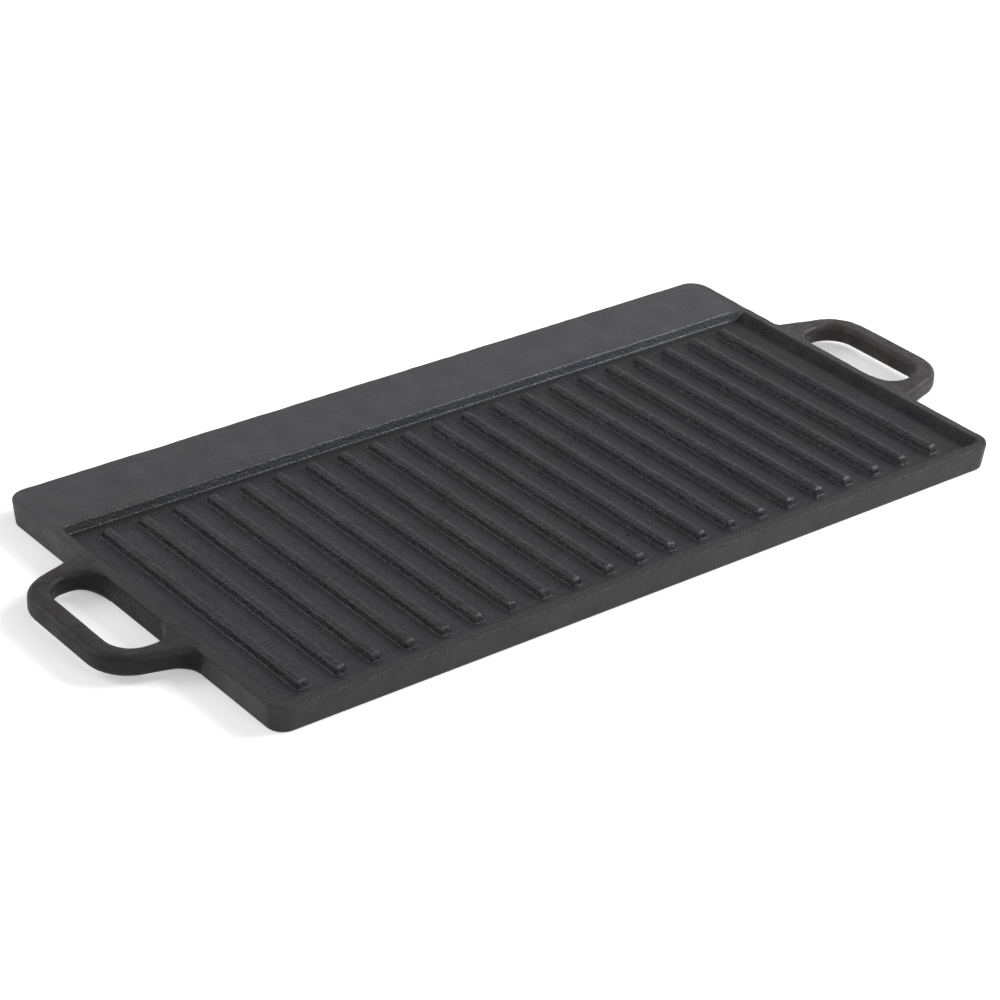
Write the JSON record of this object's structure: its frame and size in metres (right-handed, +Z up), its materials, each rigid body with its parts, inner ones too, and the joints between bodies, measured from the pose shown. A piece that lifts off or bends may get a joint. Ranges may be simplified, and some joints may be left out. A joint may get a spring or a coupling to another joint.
{
  "type": "camp griddle plate",
  "caption": "Rectangular cast-iron griddle plate with raised cooking ridges in a sunk floor, a plain ledge along the rear, a low rim and a loop handle at each short side.",
  "frame": {"origin": "under the middle of the plate, on the plane of the foot it stands on", "axes": "+X along the plate from the left handle to the right one, +Y from the front rim to the rear ledge, +Z up"},
  "size_m": [0.512, 0.228, 0.0136],
  "materials": {
    "plate_iron": "sand-cast iron with a thin dark seasoning, low sheen",
    "ridge_iron": "sand-cast iron with a thin dark seasoning, crests slightly smoother",
    "handle_iron": "sand-cast iron with a faint brown tint"
  },
  "bodies": {
    "root": {"sear_floor": "plate_iron", "front_rim": "plate_iron", "left_rim": "plate_iron", "right_rim": "plate_iron", "ledge_step": "plate_iron", "rear_ledge": "plate_iron", "rear_foot": "plate_iron", "left_trough_end": "plate_iron", "right_trough_end": "plate_iron", "left_handle": "handle_iron", "right_handle": "handle_iron", "ridge_01": "ridge_iron", "ridge_02": "ridge_iron", "ridge_03": "ridge_iron", "ridge_04": "ridge_iron", "ridge_05": "ridge_iron", "ridge_06": "ridge_iron", "ridge_07": "ridge_iron", "ridge_08": "ridge_iron", "ridge_09": "ridge_iron", "ridge_10": "ridge_iron", "ridge_11": "ridge_iron", "ridge_12": "ridge_iron", "ridge_13": "ridge_iron", "ridge_14": "ridge_iron", "ridge_15": "ridge_iron", "ridge_16": "ridge_iron", "ridge_17": "ridge_iron", "ridge_18": "ridge_iron", "ridge_19": "ridge_iron", "ridge_20": "ridge_iron", "ridge_21": "ridge_iron"}
  },
  "joints": []
}
